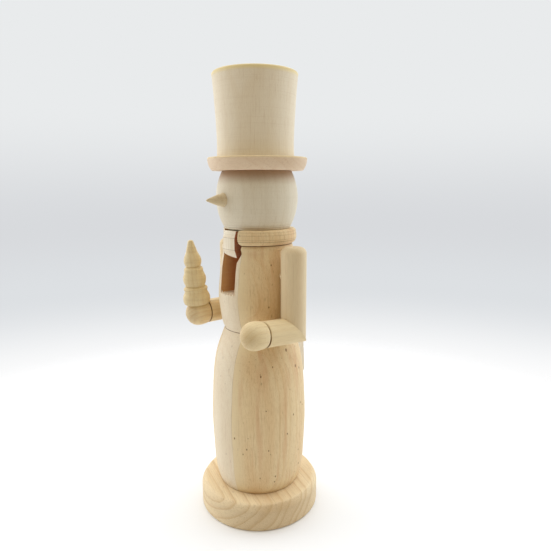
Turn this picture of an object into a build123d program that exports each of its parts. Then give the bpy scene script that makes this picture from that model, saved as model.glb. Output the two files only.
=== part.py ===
from build123d import *
from collections import namedtuple
import os

os.makedirs("parts", exist_ok=True)

# Unpainted wooden snowman nutcracker. Millimetres, +Z up, origin at the bottom centre of the base.
# The figure faces -Y, so its left hand is on +X and its right hand is on -X.

# Base disc
BASE_R = 50.4
BASE_TOP_R = 46.0
BASE_SIDE_H = 16.3
BASE_H = 22.0

# Laminated body blank: two turned cheeks glued to a core board
BODY_BOTTOM_Z = BASE_H
WAIST_Z = 156.8
WAIST_R = 27.6
NECK_GROOVE_Z = 226.3
NECK_GROOVE_R = 27.8
BODY_TOP_Z = 238.3
COLLAR_TOP_R = 29.6
COLLAR_END_Y = -10.0
COLLAR_END_R = 27.2
CORE_HALF = 13.0
SLOT_LEFT_X = 9.9
SLOT_RIGHT_X = -8.2
SLOT_WIDE_Z = (213.0, 220.0)
SLOT_FLOOR_Z = 187.4
HANDLE_POCKET_Z = 104.5
HANDLE_POCKET_GAP = 0.8

# Jaw lever
LEVER_LEFT_X = 8.5
LEVER_RIGHT_X = -6.8
PIVOT_Y = 4.0
PIVOT_Z = 222.5
PIN_R = 2.5
PIN_RUNNING_GAP = 0.05
PIN_HALF_LENGTH = 29.0
JAW_TOP_Z = 237.3
JAW_BOTTOM_Z = 216.8
JAW_R = 29.5
JAW_SLANT = 2.4
JAW_BAND_Z = (223.0, 232.0)
JAW_REAR_Z = 236.0
HANDLE_BOTTOM_Z = 106.0
HANDLE_THICK = 12.5
HANDLE_LEAN = 0.064
HANDLE_TOP_Z = 216.0
HANDLE_TOP_INNER_Y = 26.0
HANDLE_TOP_SLOPE = ((9.0, JAW_REAR_Z), (3.0, JAW_TOP_Z))
ARCH_R = 14.0

# Head, nose and hat
HEAD_TOP_Z = 283.2
BRIM_TOP_Z = 293.05
CROWN_TOP_Z = 356.0
HEAD_R = 32.5
HEAD_MID_Z = 262.0
HEAD_ARC_R = 46.5
HEAD_DOWEL_R = 3.0
HEAD_DOWEL_X = 20.0
HEAD_DOWEL_Z = (229.0, 250.0)
HAT_DOWEL_R = 5.0
HAT_DOWEL_Z = (264.0, 312.0)
BRIM_SHIFT = (0.35, 0.43, 0)
CROWN_SHIFT = (-0.47, -0.58, 0)
NOSE_Z = 261.0
NOSE_R = 5.4
NOSE_TIP = 47.0
NOSE_SEAT = 31.4
NOSE_TENON_R = 2.5
NOSE_TENON_IN = 21.0

# Arms
ARM_X = 42.1
ARM_Y = 2.4
ARM_R = 9.8
ARM_TOP_Z = 226.4
ARM_TOP_ROUND = 5.0
FOREARM_R = 10.0
HAND_R = 10.8
WRIST_R = 8.6
WRIST_BACK = 8.0
ROUND_END = ((1, 0), (0.924, 0.383), (0.707, 0.707), (0.383, 0.924), (0, 1))
STUB = 40.0
Arm = namedtuple("Arm", "side elbow_z lift reach")
LEFT_ARM = Arm(side=1, elbow_z=161.5, lift=4.0, reach=37.6)
RIGHT_ARM = Arm(side=-1, elbow_z=164.3, lift=0.0, reach=35.0)
SHOULDER_DOWEL_R = 2.5
SHOULDER_DOWEL_Z = 203.5
SHOULDER_DOWEL_X = (22.0, 40.0)
ELBOW_DOWEL_R = 2.0
ELBOW_DOWEL_LENGTH = 12.0

# Tree
TREE_SEAT = 8.5
TREE_HEIGHT = 54.8
TREE_LEAN = 5.0
TREE_TENON_R = 3.0
TREE_TENON_LENGTH = 6.0

# Two screws that hold the body to the base
SCREW_Y = 18.0
SCREW_HEAD_R = 4.8
SCREW_HEAD_Z = 4.0
SCREW_HEAD_H = 3.2
SCREW_R = 2.5
SCREW_TIP_Z = 62.0
SCREW_RECESS_R = 5.6
SCREW_CROSS = (5.2, 1.1, 2.4)


def turned(edges):
    """Spin a closed (radius, height) outline about the Z axis."""
    outline = Wire(edges)
    return revolve(Face(outline), Axis.Z)


def at(radius, height):
    """Point of a turning profile in the XZ plane."""
    return (radius, 0, height)


def path(points):
    """Straight segments through (radius, height) points."""
    corners = [at(radius, height) for radius, height in points]
    return [Edge.make_line(a, b) for a, b in zip(corners, corners[1:])]


def curve(points, tangents=None):
    """Smooth curve through (radius, height) points."""
    through = [at(radius, height) for radius, height in points]
    if tangents is None:
        return Edge.make_spline(through)
    ends = [at(radius, height) for radius, height in tangents]
    return Edge.make_spline(through, tangents=ends)


def rod(start, end, radius):
    """Straight round rod between two points."""
    direction = Vector(*end) - Vector(*start)
    plane = Plane(origin=start, z_dir=direction.normalized())
    return extrude(plane * Circle(radius), direction.length)


def handle_inner_y(height):
    """Depth of the face of the handle that lies against the core."""
    return HANDLE_TOP_INNER_Y + (HANDLE_TOP_Z - height) * HANDLE_LEAN


def body_blank():
    """Whole body as it comes off the lathe, before the slot is opened."""
    foot = curve([(33.6, BODY_BOTTOM_Z), (36.0, 28.0), (37.6, 36.5), (38.7, 53.0)], [(0.7, 1), (0.05, 1)])
    belly = curve(
        [(38.7, 53.0), (39.7, 80.0), (38.9, 103.0), (36.8, 127.0), (33.6, 141.0), (29.0, 153.6),
         (WAIST_R, WAIST_Z)],
        [(0.05, 1), (-0.6, 1)],
    )
    chest = curve(
        [(WAIST_R, WAIST_Z), (29.0, 160.2), (31.0, 170.5), (32.2, 184.0), (31.0, 199.0), (29.5, 212.0),
         (28.4, 222.0), (NECK_GROOVE_R, NECK_GROOVE_Z)],
        [(0.6, 1), (-0.6, 1)],
    )
    collar = curve(
        [(NECK_GROOVE_R, NECK_GROOVE_Z), (30.6, 228.4), (31.6, 232.8), (31.0, 236.8),
         (COLLAR_TOP_R, BODY_TOP_Z)],
        [(1, 0.5), (-1, 0.6)],
    )
    start = path([(0, BODY_BOTTOM_Z), (33.6, BODY_BOTTOM_Z)])
    close = path([(COLLAR_TOP_R, BODY_TOP_Z), (0, BODY_TOP_Z), (0, BODY_BOTTOM_Z)])
    return turned(start + [foot, belly, chest, collar] + close)


def slab(x_min, x_max):
    """Block that keeps only the wood between two lamination planes."""
    middle = Pos((x_min + x_max) / 2, 0, BODY_TOP_Z / 2)
    return middle * Box(x_max - x_min, 4 * BASE_R, 2 * BODY_TOP_Z)


def side_plate(points, x_min, x_max):
    """Board between two X planes, cut to a (depth, height) outline."""
    face = Plane.YZ * make_face(Polyline(*points, close=True))
    return Pos(x_min, 0, 0) * extrude(face, x_max - x_min)


def core_relief():
    """Wood missing from the core: chest opening, pocket for the handle, finger room beside the jaw."""
    gap = HANDLE_POCKET_GAP
    top = BODY_TOP_Z + 10
    front = -BASE_R
    back = BASE_R
    points = [
        (front, SLOT_FLOOR_Z),
        (handle_inner_y(SLOT_FLOOR_Z) - gap, SLOT_FLOOR_Z),
        (handle_inner_y(HANDLE_POCKET_Z) - gap, HANDLE_POCKET_Z),
        (back, HANDLE_POCKET_Z),
        (back, top),
        (front, top),
    ]
    slot = side_plate(points, SLOT_RIGHT_X, SLOT_LEFT_X)
    low, high = SLOT_WIDE_Z
    taper = Polyline((0, low), (SLOT_LEFT_X, low), (CORE_HALF, high), (CORE_HALF, top), (0, top), close=True)
    return slot + extrude(Plane.XZ * make_face(taper), BASE_R)


def pin_rod(radius):
    """Pivot pin through both cheeks."""
    return rod((-PIN_HALF_LENGTH, PIVOT_Y, PIVOT_Z), (PIN_HALF_LENGTH, PIVOT_Y, PIVOT_Z), radius)


def head_dowel(side):
    """Dowel that ties one cheek to the head."""
    x = side * HEAD_DOWEL_X
    return rod((x, 0, HEAD_DOWEL_Z[0]), (x, 0, HEAD_DOWEL_Z[1]), HEAD_DOWEL_R)


def shoulder_dowel(side):
    """Dowel that ties one upper arm to its cheek."""
    start = (side * SHOULDER_DOWEL_X[0], 0, SHOULDER_DOWEL_Z)
    end = (side * SHOULDER_DOWEL_X[1], 0, SHOULDER_DOWEL_Z)
    return rod(start, end, SHOULDER_DOWEL_R)


def mitre_place(arm):
    """Placement whose Z axis is square to the elbow mitre, at the centre of the elbow."""
    return Pos(arm.side * ARM_X, ARM_Y, arm.elbow_z) * Rot(-45 - arm.lift / 2, 0, 0)


def elbow_dowel(arm):
    """Dowel square to the mitre of one elbow."""
    return mitre_place(arm) * Cylinder(ELBOW_DOWEL_R, ELBOW_DOWEL_LENGTH)


def hat_dowel():
    """Dowel through the brim that holds the crown on the head."""
    return rod((0, 0, HAT_DOWEL_Z[0]), (0, 0, HAT_DOWEL_Z[1]), HAT_DOWEL_R)


def screw_outline():
    """(radius, height) points of the screw from the underside of its head to its tip."""
    head_top = SCREW_HEAD_Z + SCREW_HEAD_H
    return [(SCREW_HEAD_R, SCREW_HEAD_Z), (SCREW_HEAD_R, SCREW_HEAD_Z + 0.5), (SCREW_R, head_top),
            (SCREW_R, SCREW_TIP_Z - 6), (0, SCREW_TIP_Z)]


def base_screw(place):
    """Countersunk wood screw up through the base, in front of (-1) or behind (1) the axis."""
    screw = turned(path([(0, SCREW_HEAD_Z)] + screw_outline() + [(0, SCREW_HEAD_Z)]))
    bit = Pos(0, 0, SCREW_HEAD_Z) * (Box(*SCREW_CROSS) + Rot(0, 0, 90) * Box(*SCREW_CROSS))
    return Pos(0, place * SCREW_Y, 0) * (screw - bit)


def screw_room():
    """Wood removed for both screws and their recesses in the underside."""
    recess = [(0, -1), (SCREW_RECESS_R, -1), (SCREW_RECESS_R, SCREW_HEAD_Z)]
    room = turned(path(recess + screw_outline() + [(0, -1)]))
    return Pos(0, -SCREW_Y, 0) * room + Pos(0, SCREW_Y, 0) * room


def base():
    """Turned disc with a rounded shoulder and recesses below for the screw heads."""
    shoulder = curve(
        [(BASE_R, BASE_SIDE_H), (49.9, 18.2), (48.5, 20.4), (BASE_TOP_R, BASE_H)], [(0, 1), (-1, 0.15)]
    )
    start = path([(0, 0), (BASE_R - 1.2, 0), (BASE_R, 1.2), (BASE_R, BASE_SIDE_H)])
    close = path([(BASE_TOP_R, BASE_H), (0, BASE_H), (0, 0)])
    return turned(start + [shoulder] + close) - screw_room()


def collar_relief():
    """Front of the collar bead on the figure's right, cut back flush with the neck beside the jaw."""
    ring = Cylinder(BASE_R, BODY_TOP_Z) - Cylinder(COLLAR_END_R, BODY_TOP_Z)
    front = Pos(-BASE_R / 2, COLLAR_END_Y - BASE_R / 2, 0) * Box(BASE_R, BASE_R, BODY_TOP_Z)
    return Pos(0, 0, NECK_GROOVE_Z + BODY_TOP_Z / 2) * (ring & front)


def cheek(side):
    """Outer board of the body with its dowel holes and pin hole."""
    keep = slab(CORE_HALF, BASE_R) if side > 0 else slab(-BASE_R, -CORE_HALF)
    board = body_blank() & keep
    return board - pin_rod(PIN_R) - head_dowel(side) - shoulder_dowel(side)


def right_cheek():
    """Cheek on the figure's right, with the collar cut back at its front."""
    return cheek(-1) - collar_relief()


def core():
    """Middle board of the body, cut away for the chest opening and the handle."""
    board = body_blank() & slab(-CORE_HALF, CORE_HALF)
    return board - core_relief() - collar_relief() - screw_room() - pin_rod(PIN_R)


def jaw_envelope():
    """Turned limit of the jaw front, with a flat band between two bevels."""
    band_bottom, band_top = JAW_BAND_Z
    outline = [
        (0, JAW_BOTTOM_Z - 1), (JAW_R - 2.3, JAW_BOTTOM_Z - 1), (JAW_R, band_bottom), (JAW_R, band_top),
        (JAW_R - 1.9, JAW_TOP_Z + 1), (0, JAW_TOP_Z + 1), (0, JAW_BOTTOM_Z - 1),
    ]
    front = turned(path(outline))
    behind = Pos(0, BASE_R, JAW_TOP_Z / 2) * Box(BASE_R, 2 * BASE_R, 2 * JAW_TOP_Z)
    return front + behind


def jaw_slant():
    """Wood planed off under the jaw, most at the front corner on the figure's right."""
    near = Vector(LEVER_LEFT_X, -JAW_R, JAW_BOTTOM_Z)
    corner = Vector(LEVER_RIGHT_X, -JAW_R, JAW_BOTTOM_Z + JAW_SLANT)
    rear = Vector(LEVER_RIGHT_X, HANDLE_TOP_INNER_Y - ARCH_R, JAW_BOTTOM_Z)
    down = (rear - near).cross(corner - near).normalized()
    down = down if down.Z < 0 else -down
    return extrude(Plane(origin=near, z_dir=down) * Rectangle(4 * BASE_R, 4 * BASE_R), JAW_R)


def lever():
    """Jaw block and back handle sawn from one board, drilled for the pin."""
    arch = (handle_inner_y(JAW_BOTTOM_Z), JAW_BOTTOM_Z)
    low_in = (handle_inner_y(HANDLE_BOTTOM_Z), HANDLE_BOTTOM_Z)
    low_out = (low_in[0] + HANDLE_THICK, HANDLE_BOTTOM_Z)
    top_out = (HANDLE_TOP_INNER_Y + HANDLE_THICK, HANDLE_TOP_Z)
    points = [(-BASE_R, JAW_BOTTOM_Z), arch, low_in, low_out, top_out, *HANDLE_TOP_SLOPE,
              (-BASE_R, JAW_TOP_Z)]
    plate = side_plate(points, LEVER_RIGHT_X, LEVER_LEFT_X)
    for (depth, height), radius in [(arch, ARCH_R), (low_in, 3.0), (low_out, 5.0), (top_out, 4.0)]:
        spot = Vector((LEVER_LEFT_X + LEVER_RIGHT_X) / 2, depth, height)
        across = plate.edges().filter_by(Axis.X)
        edge = across.sort_by(lambda item, spot=spot: (item.center() - spot).length)[0]
        plate = fillet(edge, radius)
    jaw_cut = jaw_slant() & Pos(0, -BASE_R + HANDLE_TOP_INNER_Y - ARCH_R, 0) * Box(
        2 * BASE_R, 2 * BASE_R, 2 * BODY_TOP_Z
    )
    blank = (plate & jaw_envelope()) - jaw_cut
    return blank - pin_rod(PIN_R + PIN_RUNNING_GAP)


def head():
    """Barrel-shaped head, flat at top and bottom, with sockets for its dowels and the nose."""
    inset = HEAD_ARC_R - HEAD_R
    low_z = BODY_TOP_Z + 1.4
    top_r = (HEAD_ARC_R ** 2 - (HEAD_TOP_Z - HEAD_MID_Z) ** 2) ** 0.5 - inset
    start_r = (HEAD_ARC_R ** 2 - (low_z - HEAD_MID_Z) ** 2) ** 0.5 - inset
    side = Edge.make_three_point_arc(at(start_r, low_z), at(HEAD_R, HEAD_MID_Z), at(top_r, HEAD_TOP_Z))
    edge = curve([(start_r - 1.0, BODY_TOP_Z), (start_r, low_z)], [(1, 0.25), (0.42, 1)])
    start = path([(0, BODY_TOP_Z), (start_r - 1.0, BODY_TOP_Z)])
    close = path([(top_r, HEAD_TOP_Z), (0, HEAD_TOP_Z), (0, BODY_TOP_Z)])
    ball = turned(start + [edge, side] + close)
    return ball - head_dowel(1) - head_dowel(-1) - hat_dowel() - nose_body()


def nose_body():
    """Carrot cone with a tenon, laid out along Z and then turned to point forwards."""
    taper = curve(
        [(NOSE_R - 0.9, NOSE_SEAT), (NOSE_R, NOSE_SEAT + 1.2), (4.35, 34.6), (2.75, 39.2),
         (1.0, NOSE_TIP - 0.9)],
        [(1, 0.3), (-0.36, 1)],
    )
    tip = curve([(1.0, NOSE_TIP - 0.9), (0, NOSE_TIP)], [(-0.36, 1), (-1, 0)])
    start = path([(0, NOSE_TENON_IN), (NOSE_TENON_R, NOSE_TENON_IN), (NOSE_TENON_R, NOSE_SEAT),
                  (NOSE_R - 0.9, NOSE_SEAT)])
    close = path([(0, NOSE_TIP), (0, NOSE_TENON_IN)])
    carrot = turned(start + [taper, tip] + close)
    return Pos(0, 0, NOSE_Z) * Rot(90, 0, 0) * carrot


def hat_brim():
    """Disc whose side curves in towards the flat underside, glued a little off the axis."""
    under = curve([(35.8, HEAD_TOP_Z), (37.4, 285.2), (38.7, 288.4), (39.2, 292.5)], [(1, 0.75), (0.02, 1)])
    start = path([(0, HEAD_TOP_Z), (35.8, HEAD_TOP_Z)])
    close = path([(39.2, 292.5), (38.7, BRIM_TOP_Z), (0, BRIM_TOP_Z), (0, HEAD_TOP_Z)])
    return Pos(*BRIM_SHIFT) * turned(start + [under] + close) - hat_dowel()


def hat_crown():
    """Slightly flared top hat crown with an eased top edge, glued a little forwards on the brim."""
    edge_z = CROWN_TOP_Z - 1.8
    wall = curve([(30.3, BRIM_TOP_Z), (30.1, 300.0), (31.0, 327.0), (33.1, edge_z)], [(-0.03, 1), (0.11, 1)])
    ease = curve([(33.1, edge_z), (32.6, CROWN_TOP_Z - 0.5), (31.3, CROWN_TOP_Z)], [(0.11, 1), (-1, 0.05)])
    start = path([(0, BRIM_TOP_Z), (30.3, BRIM_TOP_Z)])
    close = path([(31.3, CROWN_TOP_Z), (0, CROWN_TOP_Z), (0, BRIM_TOP_Z)])
    return Pos(*CROWN_SHIFT) * turned(start + [wall, ease] + close) - hat_dowel()


def mitre_side(arm, sign):
    """Half-space block above (1) or below (-1) the elbow mitre."""
    return mitre_place(arm) * Pos(0, 0, sign * 2 * STUB) * Box(4 * STUB, 4 * STUB, 4 * STUB)


def upper_arm(arm):
    """Vertical arm dowel, rounded at the shoulder and mitred at the elbow."""
    foot = arm.elbow_z - STUB
    rod_blank = extrude(Pos(arm.side * ARM_X, ARM_Y, foot) * Circle(ARM_R), ARM_TOP_Z - foot)
    top = rod_blank.edges().sort_by(Axis.Z)[-1]
    piece = fillet(top, ARM_TOP_ROUND) & mitre_side(arm, 1)
    return piece - shoulder_dowel(arm.side) - elbow_dowel(arm)


def forearm_blank(reach):
    """Forearm and round hand turned in one piece, laid out along Z with the hand centre at the reach."""
    neck = reach - WRIST_BACK
    shoulder = neck - 0.7
    cuff = curve([(FOREARM_R, shoulder), (9.7, neck - 0.25), (WRIST_R, neck)], [(0, 1), (-1, 0.1)])
    palm = curve([(WRIST_R, neck), (9.8, neck + 1.0), (10.6, neck + 4.6), (HAND_R, reach)], [(1, 0.3), (0, 1)])
    round_end = [(HAND_R * side, reach + HAND_R * along) for side, along in ROUND_END]
    finger = curve(round_end, [(0, 1), (-1, 0)])
    start = path([(0, -STUB), (FOREARM_R, -STUB), (FOREARM_R, shoulder)])
    close = path([(0, reach + HAND_R), (0, -STUB)])
    return turned(start + [cuff, palm, finger] + close)


def forearm(arm):
    """Forearm with its hand, mitred at the elbow and lifted a little towards the hand."""
    place = Pos(arm.side * ARM_X, ARM_Y, arm.elbow_z) * Rot(90 - arm.lift, 0, 0)
    piece = place * forearm_blank(arm.reach) & mitre_side(arm, -1)
    return piece - elbow_dowel(arm)


def tree_place():
    """Placement of the tree axis, leaning forwards from the right hand."""
    return Pos(-ARM_X, ARM_Y - RIGHT_ARM.reach, RIGHT_ARM.elbow_z) * Rot(TREE_LEAN, 0, 0)


def tree_seat():
    """Wood removed from the right hand: the flat under the tree and the hole for its tenon."""
    flat = Pos(0, 0, TREE_SEAT + HAND_R) * Box(4 * HAND_R, 4 * HAND_R, 2 * HAND_R)
    hole = Pos(0, 0, TREE_SEAT - TREE_TENON_LENGTH / 2) * Cylinder(TREE_TENON_R, TREE_TENON_LENGTH + 0.4)
    return tree_place() * (flat + hole)


def right_forearm():
    """Forearm on the figure's right, cut flat on the hand for the tree."""
    return forearm(RIGHT_ARM) - tree_seat()


def tree():
    """Three-tier turned tree with a tenon below."""
    z0 = TREE_SEAT
    bottom = z0 - TREE_TENON_LENGTH
    top = z0 + TREE_HEIGHT
    tier_3 = curve(
        [(10.0, z0), (11.2, z0 + 2.0), (11.4, z0 + 4.5), (10.8, z0 + 7.8), (9.5, z0 + 11.5), (7.6, z0 + 15.4)],
        [(1, 0.4), (-1, 0.5)],
    )
    tier_2 = curve(
        [(7.6, z0 + 15.4), (8.7, z0 + 17.2), (9.5, z0 + 20.5), (9.4, z0 + 23.5), (7.9, z0 + 28.2),
         (5.7, z0 + 32.3)],
        [(1, 0.6), (-1, 0.5)],
    )
    tier_1 = curve(
        [(5.7, z0 + 32.3), (6.7, z0 + 33.9), (7.3, z0 + 36.4), (6.8, z0 + 40.0), (5.2, z0 + 43.7),
         (2.2, top - 1.2)],
        [(1, 0.6), (-0.3, 1)],
    )
    tip = curve([(2.2, top - 1.2), (1.4, top - 0.3), (0, top)], [(-0.3, 1), (-1, 0)])
    start = path([(0, bottom), (TREE_TENON_R, bottom), (TREE_TENON_R, z0), (10.0, z0)])
    close = path([(0, top), (0, bottom)])
    return tree_place() * turned(start + [tier_3, tier_2, tier_1, tip] + close)


def pivot_pin():
    """Pin trimmed to the turned surface of the cheeks."""
    return pin_rod(PIN_R) & body_blank()


NODES = {
    "base": base,
    "base_screw_front": lambda: base_screw(-1),
    "base_screw_back": lambda: base_screw(1),
    "body_core": core,
    "body_left_cheek": lambda: cheek(1),
    "body_right_cheek": right_cheek,
    "lever": lever,
    "pivot_pin": pivot_pin,
    "head": head,
    "head_dowel_left": lambda: head_dowel(1),
    "head_dowel_right": lambda: head_dowel(-1),
    "nose": nose_body,
    "hat_brim": hat_brim,
    "hat_crown": hat_crown,
    "hat_dowel": hat_dowel,
    "left_upper_arm": lambda: upper_arm(LEFT_ARM),
    "left_forearm": lambda: forearm(LEFT_ARM),
    "left_shoulder_dowel": lambda: shoulder_dowel(1),
    "left_elbow_dowel": lambda: elbow_dowel(LEFT_ARM),
    "right_upper_arm": lambda: upper_arm(RIGHT_ARM),
    "right_forearm": right_forearm,
    "right_shoulder_dowel": lambda: shoulder_dowel(-1),
    "right_elbow_dowel": lambda: elbow_dowel(RIGHT_ARM),
    "tree": tree,
}

for node, make in NODES.items():
    export_step(make(), f"parts/{node}.step")
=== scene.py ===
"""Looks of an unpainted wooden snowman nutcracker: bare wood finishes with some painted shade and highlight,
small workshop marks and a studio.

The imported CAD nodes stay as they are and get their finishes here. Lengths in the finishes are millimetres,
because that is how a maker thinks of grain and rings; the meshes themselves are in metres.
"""

import logging
import math
from collections.abc import Callable
from dataclasses import dataclass, field, replace
from enum import Enum

import bpy
from mathutils import Euler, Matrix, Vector


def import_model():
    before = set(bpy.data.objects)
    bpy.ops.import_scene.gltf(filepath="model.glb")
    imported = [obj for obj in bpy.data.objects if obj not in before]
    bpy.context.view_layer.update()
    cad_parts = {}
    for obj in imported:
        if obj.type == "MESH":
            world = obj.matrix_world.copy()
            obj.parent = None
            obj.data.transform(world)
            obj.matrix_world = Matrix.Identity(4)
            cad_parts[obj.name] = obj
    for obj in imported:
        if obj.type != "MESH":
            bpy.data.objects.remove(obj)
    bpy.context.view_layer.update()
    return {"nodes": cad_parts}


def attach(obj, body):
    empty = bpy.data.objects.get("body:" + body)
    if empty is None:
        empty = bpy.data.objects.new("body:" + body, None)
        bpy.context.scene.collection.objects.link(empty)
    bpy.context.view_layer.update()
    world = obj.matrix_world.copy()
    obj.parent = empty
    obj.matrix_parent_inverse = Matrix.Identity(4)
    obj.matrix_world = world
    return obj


LOG = logging.getLogger("snowman")
MM = 0.001
Colour = tuple[float, float, float]
Point = tuple[float, float, float]
Tint = tuple[int, int, int]

# Display colours of the marks on the wood, 0 to 255, among them painted shade and a painted highlight.
WHITE: Tint = (255, 255, 255)
BLUSH_TINT: Tint = (206, 152, 108)
SAPWOOD_TINT: Tint = (230, 212, 172)
FLECK_TINT: Tint = (122, 78, 44)
STREAK_TINT: Tint = (128, 88, 54)
END_GRAIN_TINT: Tint = (208, 194, 172)
LINE_TINT: Tint = (104, 66, 34)
# Painted shade on the saw faces inside the slot: colours at the front and deep in, pale for the core, dark
# for the lever.
PALE_SLOT_SHADE: tuple[Tint, Tint] = ((236, 196, 150), (214, 144, 104))
DARK_SLOT_SHADE: tuple[Tint, Tint] = ((176, 112, 84), (150, 84, 60))
# Painted shade under the hat brim.
UNDER_BRIM_SHADE_TINT: Tint = (170, 120, 74)
# Painted highlight along the top edges of the hat.
RIM_HIGHLIGHT_TINT: Tint = (240, 220, 160)
SEAM_TINT: Tint = (120, 84, 52)
SUNLIT_FIBRE: Colour = (1.0, 0.97, 0.90)

# Bumps per millimetre of the noise patterns: across, across and along the board's fibres.
FINE_FIBRES: Point = (5.0, 5.0, 0.16)
WIDE_FIBRES: Point = (1.1, 1.1, 0.018)
WARM_PATCHES: Point = (0.045, 0.045, 0.012)
RING_BENDS: Point = (0.03, 0.03, 0.008)
FLECK_BENDS: Point = (0.5, 0.5, 0.25)
RESIN_DUCTS: Point = (0.75, 0.75, 0.075)
ROSY_VEINS: Point = (0.16, 0.16, 0.011)
END_PORES: Point = (3.2, 3.2, 3.2)

# Bumps per millimetre of the marks that tools leave: along X, Y and Z of the figure.
LATHE_RINGS: Point = (0.02, 0.02, 2.4)
SAW_STRIPES: Point = (0.0, 0.10, 0.9)
SEAM_GAPS: Point = (0.05, 0.05, 0.07)

# Share of a year at which the ring is so dark, from pale early wood to the dark late edge.
RING_STOPS = [(0.0, 0.12), (0.35, 0.05), (0.72, 0.45), (0.90, 1.0), (1.0, 0.15)]
# Width, length and offset in millimetres of the two sizes of fleck cells.
FLECK_CELLS = ((5.2, 9.0, 0.0), (8.5, 15.0, 7.3))
SMOOTH_ANGLE = math.radians(35)


def linear(red: int, green: int, blue: int) -> Colour:
    """Turn a display colour in 0-255 into the linear light that shaders use.

    Args:
        red: Red share, 0 to 255.
        green: Green share, 0 to 255.
        blue: Blue share, 0 to 255.

    Returns:
        The three linear shares, 0 to 1.
    """
    shares = (red / 255, green / 255, blue / 255)
    return tuple(s / 12.92 if s <= 0.04045 else ((s + 0.055) / 1.055) ** 2.4 for s in shares)


class Value:
    """A number socket of a shader that can be written into Python sums."""

    def __init__(self, graph: "Graph", socket: bpy.types.NodeSocket) -> None:
        """Wrap one output socket of the graph."""
        self.graph = graph
        self.socket = socket

    def _math(self, operation: str, first: object, second: object = None) -> "Value":
        """Add one Math node.

        Args:
            operation: Name of the Math operation.
            first: First operand, a Value or a number.
            second: Second operand, where the operation takes one.

        Returns:
            The result as a Value.
        """
        operands = {i: v for i, v in enumerate((first, second)) if v is not None}
        return self.graph.value("ShaderNodeMath", {"operation": operation}, operands)

    def __add__(self, other: object) -> "Value":
        """Sum."""
        return self._math("ADD", self, other)

    def __radd__(self, other: object) -> "Value":
        """Sum with a number on the left."""
        return self._math("ADD", other, self)

    def __sub__(self, other: object) -> "Value":
        """Difference."""
        return self._math("SUBTRACT", self, other)

    def __rsub__(self, other: object) -> "Value":
        """Difference with a number on the left."""
        return self._math("SUBTRACT", other, self)

    def __mul__(self, other: object) -> "Value":
        """Product."""
        return self._math("MULTIPLY", self, other)

    def __truediv__(self, other: object) -> "Value":
        """Quotient."""
        return self._math("DIVIDE", self, other)

    def __abs__(self) -> "Value":
        """Size without sign."""
        return self._math("ABSOLUTE", self)

    def fract(self) -> "Value":
        """Part after the decimal point."""
        return self._math("FRACT", self)

    def floor(self) -> "Value":
        """Whole part."""
        return self._math("FLOOR", self)

    def most(self, other: object) -> "Value":
        """Larger of two values."""
        return self._math("MAXIMUM", self, other)

    def least(self, other: object) -> "Value":
        """Smaller of two values."""
        return self._math("MINIMUM", self, other)

    def step(self, low: float, high: float) -> "Value":
        """Smooth rise from 0 at low to 1 at high, or a fall if low is the larger.

        Args:
            low: Value that gives 0.
            high: Value that gives 1.

        Returns:
            The eased share, 0 to 1.
        """
        settings = {"interpolation_type": "SMOOTHSTEP"}
        if low < high:
            return self.graph.value("ShaderNodeMapRange", settings, {"Value": self, 1: low, 2: high})
        return 1 - self.graph.value("ShaderNodeMapRange", settings, {"Value": self, 1: high, 2: low})


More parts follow.
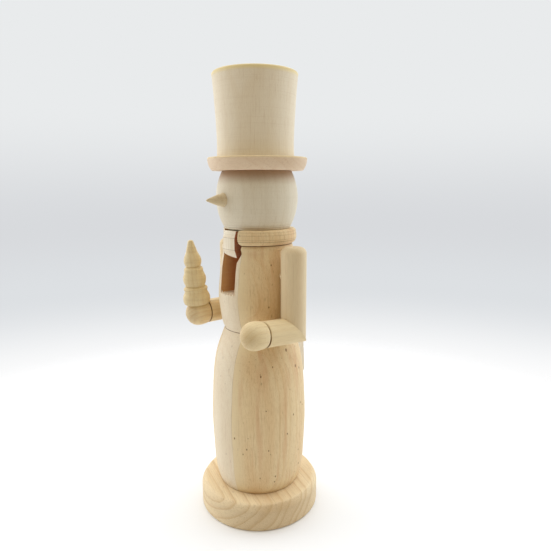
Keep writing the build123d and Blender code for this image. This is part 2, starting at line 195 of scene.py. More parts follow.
class Graph:
    """The node tree of one material or of the world."""

    def __init__(self, name: str) -> None:
        """Start a material with only a surface shader and its output."""
        self.material = bpy.data.materials.new(name)
        self.material.use_nodes = True
        self.tree = self.material.node_tree
        self.tree.nodes.clear()
        self.output = self.tree.nodes.new("ShaderNodeOutputMaterial")

    @classmethod
    def of_world(cls, name: str) -> "Graph":
        """Start the shader of the scene's world instead of a material."""
        graph = cls.__new__(cls)
        world = bpy.data.worlds.new(name)
        world.use_nodes = True
        graph.material = None
        graph.tree = world.node_tree
        graph.tree.nodes.clear()
        graph.output = graph.tree.nodes.new("ShaderNodeOutputWorld")
        bpy.context.scene.world = world
        return graph

    def node(self, kind: str, settings: dict[str, object], sockets: dict[object, object]) -> bpy.types.Node:
        """Add a node of any kind.

        Args:
            kind: Type name of the node.
            settings: Properties of the node, set first. The key "stops" fills a colour ramp.
            sockets: Input name or number to a number, colour, Value or output socket.

        Returns:
            The new node.
        """
        node = self.tree.nodes.new(kind)
        for key, setting in settings.items():
            if key == "stops":
                self._fill_ramp(node.color_ramp, setting)
            else:
                setattr(node, key, setting)
        for key, given in sockets.items():
            if isinstance(given, Value):
                given = given.socket
            if isinstance(given, bpy.types.NodeSocket):
                self.tree.links.new(given, node.inputs[key])
            else:
                node.inputs[key].default_value = given
        return node

    @staticmethod
    def _fill_ramp(ramp: bpy.types.ColorRamp, stops: list[tuple[float, float]]) -> None:
        """Set the grey stops of a ramp from (place, shade) pairs."""
        while len(ramp.elements) < len(stops):
            ramp.elements.new(1.0)
        for element, (place, shade) in zip(ramp.elements, stops):
            element.position = place
            element.color = (shade, shade, shade, 1.0)

    def value(self, kind: str, settings: dict[str, object], sockets: dict[object, object]) -> Value:
        """Add a node and wrap its first output as a Value."""
        return Value(self, self.node(kind, settings, sockets).outputs[0])

    def vector(self, operation: str, first: object, second: object) -> bpy.types.NodeSocket:
        """Add a Vector Math node and return its vector output."""
        return self.node("ShaderNodeVectorMath", {"operation": operation}, {0: first, 1: second}).outputs[0]

    def millimetres(self, vector: bpy.types.NodeSocket) -> bpy.types.NodeSocket:
        """Turn coordinates in metres into millimetres."""
        return self.vector("MULTIPLY", vector, (1 / MM, 1 / MM, 1 / MM))

    def dot(self, vector: bpy.types.NodeSocket, direction: Vector) -> Value:
        """How far a vector goes along a fixed direction."""
        settings = {"operation": "DOT_PRODUCT"}
        node = self.node("ShaderNodeVectorMath", settings, {0: vector, 1: tuple(direction)})
        return Value(self, node.outputs["Value"])

    def length(self, vector: bpy.types.NodeSocket) -> Value:
        """Length of a vector."""
        node = self.node("ShaderNodeVectorMath", {"operation": "LENGTH"}, {0: vector})
        return Value(self, node.outputs["Value"])

    def axes(self, vector: bpy.types.NodeSocket) -> tuple[Value, Value, Value]:
        """The three parts of a vector."""
        node = self.node("ShaderNodeSeparateXYZ", {}, {0: vector})
        return tuple(Value(self, out) for out in node.outputs)

    def noise(self, vector: bpy.types.NodeSocket, stretch: Point, detail: float = 2.0) -> Value:
        """Smooth noise on stretched coordinates.

        Args:
            vector: Coordinates in millimetres.
            stretch: Bumps per millimetre along each axis.
            detail: Number of finer layers.

        Returns:
            The noise, about 0.5 on average.
        """
        place = self.vector("MULTIPLY", vector, stretch)
        return self.value("ShaderNodeTexNoise", {}, {"Vector": place, "Scale": 1.0, "Detail": detail})

    def mix(self, share: object, first: object, second: object, blend: str = "MIX") -> bpy.types.NodeSocket:
        """Blend two colours.

        Args:
            share: Value or number, 0 for first only.
            first: Colour or socket.
            second: Colour or socket.
            blend: Blend type of the Mix node.

        Returns:
            The blended colour socket.
        """
        settings = {"data_type": "RGBA", "blend_type": blend, "clamp_factor": True}
        opaque = [c if isinstance(c, bpy.types.NodeSocket) else (*c, 1.0) for c in (first, second)]
        return self.node("ShaderNodeMix", settings, {0: share, 6: opaque[0], 7: opaque[1]}).outputs[2]

    def surface(self, shader: bpy.types.Node) -> bpy.types.Material:
        """Send a shader to the output and hand back the material."""
        self.tree.links.new(shader.outputs[0], self.output.inputs["Surface"])
        return self.material


class Grain(Enum):
    """Direction in which the fibres of a piece run."""

    UPRIGHT = (0.0, 0.0, 0.0)
    FORWARDS = (90.0, 0.0, 0.0)
    SIDEWAYS = (0.0, 90.0, 0.0)


@dataclass(frozen=True)
class Line:
    """A fine dark line round a turned piece.

    Place, in millimetres, is measured along the axis with number axis, and width is half the line's width.
    """

    place: float
    width: float
    strength: float = 0.6
    axis: int = 2


@dataclass(frozen=True)
class WoodFinish:
    """Bare sanded wood, described as the growth of the board it was cut from.

    Colours are display colours. Lengths are in millimetres. Of the values that are points, pith is a place,
    tilt is three angles in degrees, sapwood is (inner x, outer x, share), shaded_saw_planes is (right x,
    left x, lowest z) of the painted shade on the slot faces, and shade_under and rim are (low z, high z,
    share) of the painted shade under the brim and of the painted highlight along the hat's top edges.
    """

    name: str
    pale: Tint
    warm: Tint
    dark: Tint
    grain: Grain = Grain.UPRIGHT
    tilt: Point = (0.0, 0.0, 0.0)
    pith: Point = (0.0, 0.0, 0.0)
    ring: float = 3.0
    ring_share: float = 0.5
    wander: float = 2.0
    patch: float = 0.35
    fibre: float = 0.10
    flecks: float = 0.0
    streaks: float = 0.0
    blush: float = 0.0
    roughness: float = 0.62
    relief: float = 0.05
    lathe: float = 0.0
    lines: tuple[Line, ...] = ()
    seam: float = 0.0
    shaded_saw_planes: Point | None = None
    dark_slot_shade: bool = False
    end_grain: float = 0.0
    sapwood: Point | None = None
    shade_under: Point | None = None
    highlight_rim: Point | None = None

    def material(self) -> bpy.types.Material:
        """Build the material of this finish.

        Returns:
            The material, ready to be put on a piece.
        """
        graph = Graph(self.name)
        coordinates = graph.node("ShaderNodeTexCoord", {}, {})
        object_space = coordinates.outputs["Object"]
        plain = graph.millimetres(object_space)
        board = self._board(graph, object_space)
        fibres = graph.noise(board, FINE_FIBRES, 4.0)
        colour, height = self._clean_wood(graph, board, fibres)
        colour, height = self._growth_marks(graph, board, plain, colour, height)
        if self.end_grain:
            ends = self._ends(graph, coordinates.outputs["Normal"])
            pores = graph.noise(board, END_PORES, 3.0)
            colour = graph.mix(ends * self.end_grain, colour, linear(*END_GRAIN_TINT), "MULTIPLY")
            colour = graph.mix(ends * pores.step(0.50, 0.72) * 0.35, colour, linear(*self.dark))
        colour, height = self._tool_marks_and_slot_shade(graph, plain, colour, height)
        colour, height = self._painted_light_and_glue_line(graph, plain, colour, height)
        bump = graph.node(
            "ShaderNodeBump", {}, {"Strength": 1.0, "Distance": self.relief * MM, "Height": height}
        )
        shader = graph.node(
            "ShaderNodeBsdfPrincipled",
            {},
            {
                "Base Color": colour,
                "Roughness": fibres * 0.16 + (self.roughness - 0.08),
                "Normal": bump.outputs[0],
                "IOR": 1.45,
                "Specular IOR Level": 0.35,
                "Sheen Weight": 0.06,
                "Sheen Roughness": 0.5,
            },
        )
        return graph.surface(shader)

    def _clean_wood(
        self, graph: Graph, board: bpy.types.NodeSocket, fibres: Value
    ) -> tuple[bpy.types.NodeSocket, Value]:
        """Colour and height of flawless wood: rings, warm patches and fibres."""
        late, ring_tone = self._rings(graph, board)
        wide_fibres = graph.noise(board, WIDE_FIBRES, 3.0)
        patches = graph.noise(board, WARM_PATCHES, 2.0)
        warm, dark = linear(*self.warm), linear(*self.dark)
        colour = graph.mix(late * self.ring_share, linear(*self.pale), warm)
        colour = graph.mix((ring_tone - 0.5) * (self.ring_share * 0.7), colour, warm)
        colour = graph.mix(patches.step(0.42, 0.72) * self.patch, colour, warm)
        colour = graph.mix(wide_fibres.step(0.50, 0.80) * (self.fibre * 2.2), colour, dark)
        colour = graph.mix(fibres.step(0.48, 0.78) * (self.fibre * 2.6), colour, dark)
        colour = graph.mix(fibres.step(0.52, 0.30) * self.fibre, colour, SUNLIT_FIBRE, "SOFT_LIGHT")
        return colour, fibres * 0.45 + wide_fibres * 0.25 + late * 0.35

    def _growth_marks(
        self,
        graph: Graph,
        board: bpy.types.NodeSocket,
        plain: bpy.types.NodeSocket,
        colour: bpy.types.NodeSocket,
        height: Value,
    ) -> tuple[bpy.types.NodeSocket, Value]:
        """Add what grew in the tree: rosy veins, pale sapwood by the seam, flecks and resin ducts."""
        if self.blush:
            colour = graph.mix(self._blush(graph, board) * self.blush, colour, linear(*BLUSH_TINT))
        if self.sapwood:
            inner, outer, share = self.sapwood
            near_seam = abs(graph.axes(plain)[0]).step(outer, inner)
            colour = graph.mix(near_seam * share, colour, linear(*SAPWOOD_TINT))
        if self.flecks:
            marks = self._flecks(graph, board)
            colour = graph.mix(marks * self.flecks, colour, linear(*FLECK_TINT))
            height = height - marks * 0.6
        if self.streaks:
            marks = self._streaks(graph, board)
            colour = graph.mix(marks * self.streaks, colour, linear(*STREAK_TINT))
            height = height - marks * 0.5
        return colour, height

    def _tool_marks_and_slot_shade(
        self, graph: Graph, plain: bpy.types.NodeSocket, colour: bpy.types.NodeSocket, height: Value
    ) -> tuple[bpy.types.NodeSocket, Value]:
        """Add what the lathe and the saw left, fine rings and cut lines, and painted shade on the saw faces
        inside the slot.
        """
        if self.lathe:
            marks = self._lathe_rings(graph, plain)
            colour = graph.mix(marks * self.lathe * 0.5, colour, linear(*self.dark))
            height = height - marks * (self.lathe * 1.5)
        for line in self.lines:
            mark = self._line(graph, plain, line)
            colour = graph.mix(mark * line.strength, colour, linear(*LINE_TINT))
            height = height - mark * (1.4 * line.strength)
        # Painted shade: the saw faces inside the slot are darkened warm brown, darker deeper in, as shade
        # and warm bounce light there.
        if self.shaded_saw_planes:
            mark, depth = self._painted_slot_shade(graph, plain)
            front, deep = DARK_SLOT_SHADE if self.dark_slot_shade else PALE_SLOT_SHADE
            tan = graph.mix(depth, linear(*front), linear(*deep))
            colour = graph.mix(mark, colour, tan, "MULTIPLY")
        return colour, height

    def _painted_light_and_glue_line(
        self, graph: Graph, plain: bpy.types.NodeSocket, colour: bpy.types.NodeSocket, height: Value
    ) -> tuple[bpy.types.NodeSocket, Value]:
        """Add the painted shade under the brim, the painted highlight along the hat's top edges and the glue
        line beside the core.
        """
        # Painted shade: the head is darkened warm brown just under the brim, where the brim's shadow falls.
        if self.shade_under:
            low, high, share = self.shade_under
            under = graph.axes(plain)[2].step(low, high)
            colour = graph.mix(under * share, colour, linear(*UNDER_BRIM_SHADE_TINT), "MULTIPLY")
        # Painted highlight: a pale band along a top edge of the hat, where the light from above catches it.
        if self.highlight_rim:
            low, high, share = self.highlight_rim
            highlight_rim = graph.axes(plain)[2].step(low, high)
            colour = graph.mix(highlight_rim * share, colour, linear(*RIM_HIGHLIGHT_TINT))
        if self.seam:
            mark = self._seam(graph, plain)
            colour = graph.mix(mark * 0.45, colour, linear(*SEAM_TINT))
            height = height - mark * 0.9
        return colour, height

    def _board(self, graph: Graph, object_space: bpy.types.NodeSocket) -> bpy.types.NodeSocket:
        """Coordinates in millimetres of the board, with Z along its fibres and the pith at X = Y = 0."""
        turn = [math.radians(a + b) for a, b in zip(self.grain.value, self.tilt)]
        place = [p * MM for p in self.pith]
        mapping = graph.node(
            "ShaderNodeMapping",
            {"vector_type": "TEXTURE"},
            {"Vector": object_space, "Location": place, "Rotation": turn, "Scale": (MM, MM, MM)},
        )
        return mapping.outputs[0]

    def _rings(self, graph: Graph, board: bpy.types.NodeSocket) -> tuple[Value, Value]:
        """Growth rings: how late in its year the wood grew, and a tone that differs from year to year."""
        place = graph.vector("MULTIPLY", board, RING_BENDS)
        bend = graph.node("ShaderNodeTexNoise", {}, {"Vector": place, "Scale": 1.0})
        shift = graph.vector("MULTIPLY_ADD", bend.outputs["Color"], (self.wander * 4,) * 3)
        wavy = graph.vector("ADD", board, shift)
        across = graph.vector("MULTIPLY", wavy, (1.0, 1.0, 0.0))
        years = graph.length(across) / self.ring
        uneven = graph.value(
            "ShaderNodeTexNoise",
            {"noise_dimensions": "1D"},
            {"W": years * 0.45, "Scale": 1.0, "Detail": 1.0},
        )
        years = years + uneven * 1.6
        late = graph.value(
            "ShaderNodeValToRGB",
            {"stops": RING_STOPS},
            {"Fac": years.fract()},
        )
        tone = graph.value("ShaderNodeTexWhiteNoise", {"noise_dimensions": "1D"}, {"W": years.floor()})
        return late, tone

    def _flecks(self, graph: Graph, board: bpy.types.NodeSocket) -> Value:
        """Small brown pith flecks: round dots of several sizes, each with a faint tail along the fibres."""
        place = graph.vector("MULTIPLY", board, FLECK_BENDS)
        wobble = graph.node("ShaderNodeTexNoise", {}, {"Vector": place, "Scale": 1.0})
        bent = graph.vector("MULTIPLY_ADD", wobble.outputs["Color"], (0.5, 0.5, 0.5))
        bent = graph.vector("ADD", board, bent)
        layers = []
        for width, length, offset in FLECK_CELLS:
            place = graph.vector("ADD", bent, (offset, offset, offset * 1.7))
            place = graph.vector("MULTIPLY", place, (1 / width, 1 / width, 1 / length))
            cells = graph.node("ShaderNodeTexVoronoi", {}, {"Vector": place, "Scale": 1.0})
            size = graph.axes(cells.outputs["Color"])
            reach = size[1] * 0.07 + 0.085
            core = (Value(graph, cells.outputs["Distance"]) / reach).step(1.0, 0.35)
            layers.append(core * size[0].step(0.25, 0.60))
        small, large = layers
        return small.most(large)

    def _streaks(self, graph: Graph, board: bpy.types.NodeSocket) -> Value:
        """Thin dark resin ducts, long along the fibres and gathered in a few zones."""
        place = graph.vector("MULTIPLY", board, RESIN_DUCTS)
        cells = graph.node("ShaderNodeTexVoronoi", {}, {"Vector": place, "Scale": 1.0})
        near = Value(graph, cells.outputs["Distance"]).step(0.17, 0.06)
        shade = graph.axes(cells.outputs["Color"])
        zone = graph.noise(board, WARM_PATCHES, 1.0).step(0.44, 0.60)
        return near * shade[1].step(0.40, 0.85) * zone

    def _ends(self, graph: Graph, normal: bpy.types.NodeSocket) -> Value:
        """How squarely the surface cuts the fibres, from 0 along them to 1 on end grain."""
        turn = Euler([math.radians(a + b) for a, b in zip(self.grain.value, self.tilt)], "XYZ")
        fibre = turn.to_matrix() @ Vector((0, 0, 1))
        return abs(graph.dot(normal, fibre)).step(0.35, 0.95)

    def _blush(self, graph: Graph, board: bpy.types.NodeSocket) -> Value:
        """Broad rosy-brown veins that follow the fibres."""
        return graph.noise(board, ROSY_VEINS, 2.0).step(0.52, 0.74)

    def _lathe_rings(self, graph: Graph, plain: bpy.types.NodeSocket) -> Value:
        """Very fine rings that the turning tool and sandpaper leave round the axis."""
        rings = graph.noise(plain, LATHE_RINGS, 3.0)
        return rings.step(0.52, 0.72)

    def _line(self, graph: Graph, plain: bpy.types.NodeSocket, line: Line) -> Value:
        """One line round the piece."""
        along = graph.axes(plain)[line.axis]
        return abs(along - line.place).step(line.width, line.width * 0.15)

    def _painted_slot_shade(self, graph: Graph, plain: bpy.types.NodeSocket) -> tuple[Value, Value]:
        """Painted shade on the upright saw faces inside the slot, and how deep in the slot they lie: deeper
        is painted darker.
        """
        across, along, height = graph.axes(plain)
        right, left, low = self.shaded_saw_planes
        cut = abs(across - right).step(0.22, 0.10).most(abs(across - left).step(0.22, 0.10))
        if self.dark_slot_shade:
            cut = cut * along.step(-4.0, -9.0)
        stripes = graph.noise(plain, SAW_STRIPES, 2.0) * 0.25 + 0.85
        return cut * height.step(low - 0.1, low + 0.3) * stripes.least(1.0), along.step(-27.0, -13.0)

    def _seam(self, graph: Graph, plain: bpy.types.NodeSocket) -> Value:
        """Glue line between the core board and a cheek."""
        across = graph.axes(plain)[0]
        gaps = graph.noise(plain, SEAM_GAPS, 2.0).step(0.34, 0.66)
        line = abs(abs(across) - self.seam).step(0.22, 0.06)
        return line * (gaps * 0.75 + 0.15)


@dataclass(frozen=True)
class GlueFinish:
    """Hardened white wood glue, milky and a little shiny."""

    name: str = "dried_glue"
    milky: Tint = (250, 244, 226)
    amber: Tint = (236, 218, 178)
    roughness: float = 0.22

    def material(self) -> bpy.types.Material:
        """Build the material of this finish.

        Returns:
            The material, ready to be put on a drop.
        """
        graph = Graph(self.name)
        object_space = graph.node("ShaderNodeTexCoord", {}, {}).outputs["Object"]
        cloud = graph.noise(graph.millimetres(object_space), (0.9, 0.9, 0.9), 2.0)
        colour = graph.mix(cloud.step(0.35, 0.70), linear(*self.milky), linear(*self.amber))
        shader = graph.node(
            "ShaderNodeBsdfPrincipled",
            {},
            {"Base Color": colour, "Roughness": cloud * 0.2 + self.roughness, "IOR": 1.47},
        )
        return graph.surface(shader)


@dataclass(frozen=True)
class SteelFinish:
    """Zinc-plated steel of the countersunk screws."""

    name: str = "screw_steel"
    bright: Tint = (196, 196, 190)
    dull: Tint = (138, 136, 128)
    roughness: float = 0.36

    def material(self) -> bpy.types.Material:
        """Build the material of this finish.

        Returns:
            The material, ready to be put on a screw.
        """
        graph = Graph(self.name)
        object_space = graph.node("ShaderNodeTexCoord", {}, {}).outputs["Object"]
        plain = graph.millimetres(object_space)
        blotch = graph.noise(plain, (0.8, 0.8, 0.8), 4.0)
        scratch = graph.noise(plain, (0.5, 9.0, 0.5), 2.0)
        colour = graph.mix(blotch.step(0.42, 0.68), linear(*self.bright), linear(*self.dull))
        bump = graph.node("ShaderNodeBump", {}, {"Distance": 0.02 * MM, "Height": scratch})
        shader = graph.node(
            "ShaderNodeBsdfPrincipled",
            {},
            {
                "Base Color": colour,
                "Metallic": 1.0,
                "Roughness": scratch * 0.2 + self.roughness,
                "Normal": bump.outputs[0],
            },
        )
        return graph.surface(shader)


CHEEK = WoodFinish(
    "cheek_wood", pale=(232, 209, 165), warm=(216, 176, 124), dark=(160, 114, 68), pith=(-40.0, 90.0, 0.0),
    tilt=(0.6, -0.8, 0.0), ring=4.2, ring_share=0.34, wander=2.4, patch=0.45, fibre=0.15, flecks=0.95,
    streaks=0.95, blush=0.42, lathe=0.12, seam=13.0, sapwood=(13.0, 25.0, 0.75),
    lines=(Line(156.8, 0.55, 0.75), Line(226.3, 0.6, 0.9), Line(229.6, 0.3, 0.5), Line(231.0, 0.22, 0.35),
           Line(234.4, 0.25, 0.3), Line(236.6, 0.2, 0.25), Line(22.2, 0.5, 0.5)),
)
# The core's saw faces inside the chest opening are painted darker as shade, more so deeper in.
CORE = WoodFinish(
    "core_wood", pale=(236, 223, 198), warm=(222, 202, 170), dark=(182, 150, 112), pith=(15.0, 70.0, 0.0),
    tilt=(0.5, 0.7, 0.0), ring=3.4, ring_share=0.28, wander=1.8, patch=0.35, fibre=0.12, flecks=0.30,
    streaks=0.4, blush=0.12, lathe=0.12, seam=13.0, shaded_saw_planes=(-8.2, 9.9, 187.6),
    lines=(Line(156.8, 0.55, 0.75), Line(226.3, 0.6, 0.9), Line(22.2, 0.5, 0.5)),
)
# The lever's sawn side faces in the gap beside the jaw are painted dark as shade.
LEVER = WoodFinish(
    "lever_wood", pale=(243, 235, 216), warm=(230, 211, 178), dark=(188, 152, 108), pith=(3.0, 34.0, 0.0),
    ring=2.6, ring_share=0.42, wander=1.4, patch=0.25, fibre=0.12, flecks=0.2, blush=0.08, roughness=0.66,
    relief=0.07, shaded_saw_planes=(-6.8, 8.5, 205.0), dark_slot_shade=True,
    lines=(Line(223.0, 0.25, 0.5), Line(232.0, 0.25, 0.5), Line(234.6, 0.2, 0.25)),
)
# The head carries painted shade just under the hat brim, where the brim's shadow falls.
HEAD = WoodFinish(
    "head_wood", pale=(226, 218, 198), warm=(213, 200, 174), dark=(180, 162, 130), pith=(30.0, 60.0, 0.0),
    ring=5.5, ring_share=0.26, wander=2.0, patch=0.30, fibre=0.09, lathe=0.22,
    shade_under=(271.0, 283.2, 0.75), lines=(Line(239.9, 0.3, 0.35), Line(241.6, 0.2, 0.25)),
)
# The crown and the brim carry a painted highlight along their top edges, where the light from above catches
# them.
CROWN = WoodFinish(
    "crown_wood", pale=(236, 225, 202), warm=(224, 206, 174), dark=(190, 162, 124), pith=(-35.0, 50.0, 0.0),
    ring=4.8, ring_share=0.22, wander=2.0, patch=0.25, fibre=0.10, lathe=0.28, highlight_rim=(351.6, 354.6, 0.85),
)
BRIM = WoodFinish(
    "brim_wood", pale=(236, 216, 190), warm=(222, 194, 162), dark=(186, 148, 114), grain=Grain.SIDEWAYS,
    tilt=(0.0, 0.0, 25.0), pith=(0.0, 20.0, 330.0), ring=4.0, ring_share=0.34, wander=2.2, patch=0.30,
    fibre=0.12, blush=0.12, lathe=0.10, end_grain=0.22, highlight_rim=(291.2, 292.8, 0.5),
)
NOSE = WoodFinish(
    "nose_wood", pale=(220, 204, 170), warm=(204, 180, 140), dark=(150, 122, 86), grain=Grain.FORWARDS,
    pith=(6.0, 0.0, 268.0), ring=2.2, ring_share=0.30, wander=0.6, fibre=0.12,
)
BASE = WoodFinish(
    "base_pine", pale=(234, 215, 178), warm=(208, 176, 130), dark=(158, 128, 94), grain=Grain.SIDEWAYS,
    tilt=(0.0, 0.0, -15.4), pith=(-32.0, -118.5, 113.0), ring=7.0, ring_share=0.66, wander=2.4, patch=0.40,
    fibre=0.16, flecks=0.20, roughness=0.66, relief=0.06, end_grain=0.40,
)
UPPER_ARM = WoodFinish(
    "upper_arm_wood", pale=(229, 211, 175), warm=(216, 188, 144), dark=(178, 144, 100),
    pith=(22.0, 26.0, 0.0), ring=3.6, ring_share=0.26, wander=1.2, patch=0.25, fibre=0.10, lathe=0.04,
    end_grain=0.15,
)
FOREARM = WoodFinish(
    "forearm_wood", pale=(237, 220, 180), warm=(222, 194, 142), dark=(172, 138, 92), grain=Grain.FORWARDS,
    tilt=(-4.0, 0.0, 0.0), pith=(24.0, 0.0, 182.0), ring=3.0, ring_share=0.36, wander=1.0, patch=0.30,
    fibre=0.12, end_grain=0.35, lines=(Line(-27.2, 0.5, 0.85, 1),),
)
TREE_FOREARM = replace(
    FOREARM, name="tree_forearm_wood", warm=(212, 172, 114), tilt=(0.0, 0.0, 0.0), pith=(-20.0, 0.0, 150.0),
    lines=(Line(-24.6, 0.5, 0.85, 1),),
)
TREE = WoodFinish(
    "tree_wood", pale=(232, 215, 172), warm=(216, 188, 132), dark=(168, 132, 84), pith=(-38.0, -26.0, 0.0),
    tilt=(5.0, 0.0, 0.0), ring=3.2, ring_share=0.36, wander=1.0, patch=0.30, fibre=0.10, lathe=0.45,
)
SPLINTER = WoodFinish(
    "torn_fibre_wood", pale=(250, 242, 222), warm=(240, 222, 186), dark=(206, 176, 134),
    pith=(15.0, 70.0, 0.0), ring=1.2, ring_share=0.25, wander=0.5, fibre=0.12, roughness=0.80,
)
DOWEL = WoodFinish(
    "dowel_wood", pale=(224, 200, 156), warm=(204, 172, 120), dark=(158, 122, 80), pith=(5.0, 5.0, 0.0),
    ring=1.8, ring_share=0.35, wander=0.5, fibre=0.12,
)
GLUE = GlueFinish()


@dataclass(frozen=True)
class Panel:
    """Square soft light beside the figure, placed in metres from the point it shines at."""

    name: str
    right: float
    away: float
    up: float
    size: float
    power: float
    tint: Colour


@dataclass
class Studio:
    """White table in a light tent, lit softly from the sides, the back and the top."""

    camera_place: Point = (0.3155, -0.2373, 0.2729)
    camera_turn: float = 50.9
    camera_dip: float = 10.65
    camera_roll: float = 0.14
    lens: float = 31.82
    sensor_width: float = 36.0
    nearest: float = 0.01
    aim: Point = (0.0, 0.0, 0.18)
    panels: tuple[Panel, ...] = (
        Panel("panel_left", -0.80, 0.30, 0.20, 0.8, 3.2, (1.0, 0.98, 0.97)),
        Panel("panel_right", 0.80, 0.35, 0.20, 0.8, 2.6, (0.96, 0.98, 1.0)),
    )
    floor_colour: Colour = (0.87, 0.88, 0.90)
    floor_radius: float = 0.80
    floor_fade: tuple[float, float] = (0.20, 0.50)
    dim_light: float = 0.11
    side_light: float = 0.72
    top_light: float = 1.00
    floor_light: float = 0.50
    warm_front: Colour = (1.0, 0.86, 0.66)
    cool_back: Colour = (0.93, 0.97, 1.0)
    wall_bands: tuple[tuple[float, float, Tint], ...] = (
        (-0.36, -0.20, (221, 224, 227)),
        (-0.20, -0.08, (216, 218, 221)),
        (-0.08, 0.14, (233, 235, 236)),
    )

    def build(self) -> None:
        """Put the floor, the lights and the camera in place."""
        self._floor()
        self._lights()
        self._world()
        self._camera()

    def _away(self) -> Vector:
        """Level direction in which the camera looks."""
        turn = math.radians(self.camera_turn)
        return Vector((-math.sin(turn), math.cos(turn), 0.0))

    def _floor(self) -> None:
        """White table top that melts into the tent away from the figure."""
        bpy.ops.object.select_all(action="DESELECT")
        bpy.ops.mesh.primitive_circle_add(vertices=96, radius=self.floor_radius, fill_type="NGON")
        floor = bpy.context.object
        floor.name = "floor"
        graph = Graph("floor_paper")
        object_space = graph.node("ShaderNodeTexCoord", {}, {}).outputs["Object"]
        away = graph.length(object_space)
        paper = graph.node(
            "ShaderNodeBsdfPrincipled",
            {},
            {"Base Color": (*self.floor_colour, 1.0), "Roughness": 0.9, "Specular IOR Level": 0.0},
        )
        clear = graph.node("ShaderNodeBsdfTransparent", {}, {})
        faded = graph.node(
            "ShaderNodeMixShader",
            {},
            {0: away.step(*self.floor_fade), 1: paper.outputs[0], 2: clear.outputs[0]},
        )
        floor.data.materials.append(graph.surface(faded))
        LOG.info("studio floor %.1f m across", 2 * self.floor_radius)

    def _lights(self) -> None:
        """Soft panels to the left and right that brighten the sides of the figure."""
        away = self._away()
        right = Vector((away.y, -away.x, 0.0))
        aim = Vector(self.aim)
        for panel in self.panels:
            lamp = bpy.data.lights.new(panel.name, "AREA")
            lamp.shape = "SQUARE"
            lamp.size = panel.size
            lamp.energy = panel.power
            lamp.color = panel.tint
            stand = bpy.data.objects.new(panel.name, lamp)
            stand.location = aim + right * panel.right + away * panel.away + Vector((0, 0, panel.up))
            stand.rotation_euler = (aim - stand.location).to_track_quat("-Z", "Y").to_euler()
            bpy.context.scene.collection.objects.link(stand)

    def _world(self) -> None:
        """Tent walls: what lights the figure, and the paler grey wall that is seen behind it."""
        graph = Graph.of_world("studio_tent")
        direction = graph.node("ShaderNodeTexCoord", {}, {}).outputs["Generated"]
        behind = graph.dot(direction, self._away())
        height = graph.axes(direction)[2]
        strength = self.dim_light + behind.step(-0.75, 0.35) * self.side_light
        strength = strength + height.step(0.15, 0.95) * self.top_light
        strength = strength + height.step(0.0, -0.25) * behind.step(0.3, -0.3) * self.floor_light
        tint = graph.mix(behind.step(-0.8, 0.1), self.warm_front, self.cool_back)
        light = graph.node("ShaderNodeBackground", {}, {"Color": tint, "Strength": strength})
        wall = linear(*WHITE)
        for low, high, tint_above in self.wall_bands:
            wall = graph.mix(height.step(low, high), wall, linear(*tint_above))
        seen = graph.node("ShaderNodeBackground", {}, {"Color": wall, "Strength": 1.0})
        path = graph.node("ShaderNodeLightPath", {}, {})
        both = graph.node(
            "ShaderNodeMixShader",
            {},
            {0: path.outputs["Is Camera Ray"], 1: light.outputs[0], 2: seen.outputs[0]},
        )
        graph.tree.links.new(both.outputs[0], graph.output.inputs["Surface"])

    def _camera(self) -> None:
        """Camera level with the figure's head, on its left front, looking slightly down."""
        lens = bpy.data.cameras.new("camera")
        lens.lens = self.lens
        lens.sensor_width = self.sensor_width
        lens.clip_start = self.nearest
        camera = bpy.data.objects.new("camera", lens)
        camera.location = self.camera_place
        turn = (90.0 - self.camera_dip, self.camera_roll, self.camera_turn)
        camera.rotation_euler = Euler([math.radians(a) for a in turn], "XYZ")
        bpy.context.scene.collection.objects.link(camera)
        bpy.context.scene.camera = camera
        bpy.context.scene.view_settings.view_transform = "Standard"
        bpy.context.scene.view_settings.look = "None"


@dataclass
class Figure:
    """The wooden figure: which finish goes on which turned, sawn or dowelled piece."""

    nodes: dict[str, bpy.types.Object]
    finishes: dict[str, object] = field(
        default_factory=lambda: {
            "base": BASE,
            "base_screw_front": SteelFinish(),
            "base_screw_back": SteelFinish(),
            "body_core": CORE,
            "body_left_cheek": CHEEK,
            "body_right_cheek": CHEEK,
            "lever": LEVER,
            "pivot_pin": DOWEL,
            "head": HEAD,
            "head_dowel_left": DOWEL,
            "head_dowel_right": DOWEL,
            "nose": NOSE,
            "hat_brim": BRIM,
            "hat_crown": CROWN,
            "hat_dowel": DOWEL,
            "left_upper_arm": UPPER_ARM,
            "left_forearm": FOREARM,
            "left_shoulder_dowel": DOWEL,
            "left_elbow_dowel": DOWEL,
            "right_upper_arm": UPPER_ARM,
            "right_forearm": TREE_FOREARM,
            "right_shoulder_dowel": DOWEL,
            "right_elbow_dowel": DOWEL,
            "tree": TREE,
        }
    )

    def dress(self) -> None:
        """Put each piece's finish in its material slots."""
        made: dict[str, bpy.types.Material] = {}
        for name, finish in self.finishes.items():
            if finish.name not in made:
                made[finish.name] = finish.material()
            piece = self.nodes[name]
            for slot in piece.material_slots:
                slot.material = made[finish.name]
            LOG.info("%s finished as %s", name, finish.name)


@dataclass(frozen=True)
class Fibre:
    """One torn fibre left by the saw: where it stands, how tall it is and how it leans (degrees)."""

    foot: Point
    height: float
    lean: Point


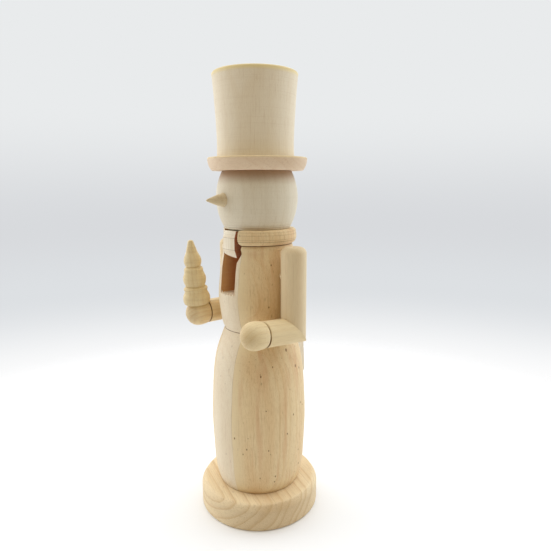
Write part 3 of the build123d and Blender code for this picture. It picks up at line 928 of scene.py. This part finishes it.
@dataclass
class TornFibres:
    """Splinters left standing along the front edge of the chest opening."""

    finish: WoodFinish
    thickness: float = 0.9
    fibres: tuple[Fibre, ...] = (
        Fibre((-6.4, -30.4, 187.2), 2.3, (14.0, -12.0, 20.0)),
        Fibre((-4.3, -30.9, 187.2), 1.5, (-6.0, 22.0, 65.0)),
        Fibre((-1.6, -31.2, 187.2), 2.0, (10.0, -20.0, 110.0)),
        Fibre((0.9, -31.1, 187.2), 1.3, (-10.0, 14.0, 30.0)),
        Fibre((4.6, -30.9, 187.2), 1.7, (8.0, 26.0, 80.0)),
        Fibre((7.6, -30.2, 187.2), 1.2, (-12.0, -10.0, 40.0)),
    )

    def build(self) -> None:
        """Model one splinter, then copy it to every place."""
        pattern = self._splinter()
        material = self.finish.material()
        for number, fibre in enumerate(self.fibres, start=1):
            piece = pattern.copy()
            piece.data = pattern.data.copy()
            piece.name = f"torn_fibre_{number}"
            bpy.context.collection.objects.link(piece)
            select_only(piece)
            piece.scale = (self.thickness, self.thickness, fibre.height)
            piece.rotation_euler = [math.radians(angle) for angle in fibre.lean]
            piece.location = [MM * place for place in fibre.foot]
            finish_piece(piece, material)
        bpy.data.objects.remove(pattern)

    def _splinter(self) -> bpy.types.Object:
        """One splinter a millimetre tall: a flat stalk that narrows to a bent, split tip."""
        bpy.ops.object.select_all(action="DESELECT")
        bpy.ops.mesh.primitive_cube_add(size=MM, location=(0, 0, 0.5 * MM))
        stalk = bpy.context.object
        bpy.ops.object.transform_apply(location=True, rotation=False, scale=False)
        bpy.ops.object.mode_set(mode="EDIT")
        bpy.ops.transform.resize(value=(1.0, 0.45, 1.0))
        bpy.ops.mesh.subdivide(number_cuts=3)
        pick(stalk, lambda corner: corner.z > 0.7 * MM)
        bpy.ops.transform.resize(value=(0.40, 0.7, 1.0))
        bpy.ops.transform.translate(value=(0.16 * MM, 0.05 * MM, 0.10 * MM))
        pick(stalk, lambda corner: corner.z > 0.95 * MM and corner.x > 0.12 * MM)
        bpy.ops.transform.translate(value=(0.02 * MM, 0.0, 0.22 * MM))
        pick(stalk, lambda corner: corner.z > 1.05 * MM)
        bpy.ops.transform.resize(value=(0.5, 0.5, 1.0))
        bpy.ops.object.mode_set(mode="OBJECT")
        round_off(stalk)
        return stalk


@dataclass
class GlueBead:
    """Hardened drop of wood glue squeezed out of a joint."""

    name: str
    place: Point
    radius: float
    body_slot: str

    def build(self) -> None:
        """Model the drop: a ball flattened against the wood, with a sagging run below it."""
        centre = [MM * part for part in self.place]
        size = self.radius * MM
        bpy.ops.object.select_all(action="DESELECT")
        bpy.ops.mesh.primitive_ico_sphere_add(subdivisions=3, radius=size, location=centre)
        bead = bpy.context.object
        bead.name = self.name
        bpy.ops.object.transform_apply(location=True, rotation=False, scale=False)
        bpy.ops.object.mode_set(mode="EDIT")
        bpy.ops.transform.resize(value=(0.7, 0.8, 1.15))
        pick(bead, lambda corner: corner.z < centre[2] - 0.45 * size)
        bpy.ops.transform.resize(value=(0.6, 0.7, 1.0))
        bpy.ops.transform.translate(value=(0.1 * size, 0.05 * size, -0.5 * size))
        bpy.ops.object.mode_set(mode="OBJECT")
        round_off(bead)
        finish_piece(bead, GLUE.material())


def select_only(piece: bpy.types.Object) -> None:
    """Make one piece the only selected and active one.

    Args:
        piece: Object that the next operators act on.
    """
    bpy.ops.object.select_all(action="DESELECT")
    piece.select_set(True)
    bpy.context.view_layer.objects.active = piece


def pick(piece: bpy.types.Object, wanted: Callable[[Vector], bool]) -> None:
    """Select, in edit mode, only the corners whose place is wanted.

    Args:
        piece: Object in edit mode.
        wanted: Test on a corner's place, in metres.
    """
    bpy.ops.mesh.select_mode(type="VERT")
    bpy.ops.mesh.select_all(action="DESELECT")
    bpy.ops.object.mode_set(mode="OBJECT")
    for corner in piece.data.vertices:
        corner.select = wanted(corner.co)
    bpy.ops.object.mode_set(mode="EDIT")


def round_off(piece: bpy.types.Object) -> None:
    """Round the corners of the active piece with one subdivision.

    Args:
        piece: The active object, in object mode.
    """
    smooth = piece.modifiers.new("smooth", "SUBSURF")
    smooth.levels = 1
    bpy.ops.object.modifier_apply(modifier=smooth.name)


def finish_piece(piece: bpy.types.Object, material: bpy.types.Material) -> None:
    """Fix a small piece in place, give it its material and let it ride on the figure.

    Args:
        piece: Object to finish.
        material: Its material.
    """
    select_only(piece)
    bpy.ops.object.transform_apply(location=True, rotation=True, scale=True)
    bpy.ops.object.shade_smooth_by_angle(angle=SMOOTH_ANGLE)
    piece.data.materials.clear()
    piece.data.materials.append(material)
    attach(piece, "figure")
    LOG.info("%s made with %d faces", piece.name, len(piece.data.polygons))


def main() -> None:
    """Load the frame, dress the figure and set up the studio."""
    logging.basicConfig(level=logging.INFO, format="%(name)s: %(message)s")
    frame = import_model()
    Figure(frame["nodes"]).dress()
    TornFibres(SPLINTER).build()
    GlueBead("glue_bead_shoulder", (33.6, -3.2, 202.8), 1.0, "upper_arm_wood").build()
    GlueBead("glue_bead_tree", (-36.6, -36.9, 172.1), 0.7, "tree_wood").build()
    Studio().build()


if __name__ == "__main__":
    main()
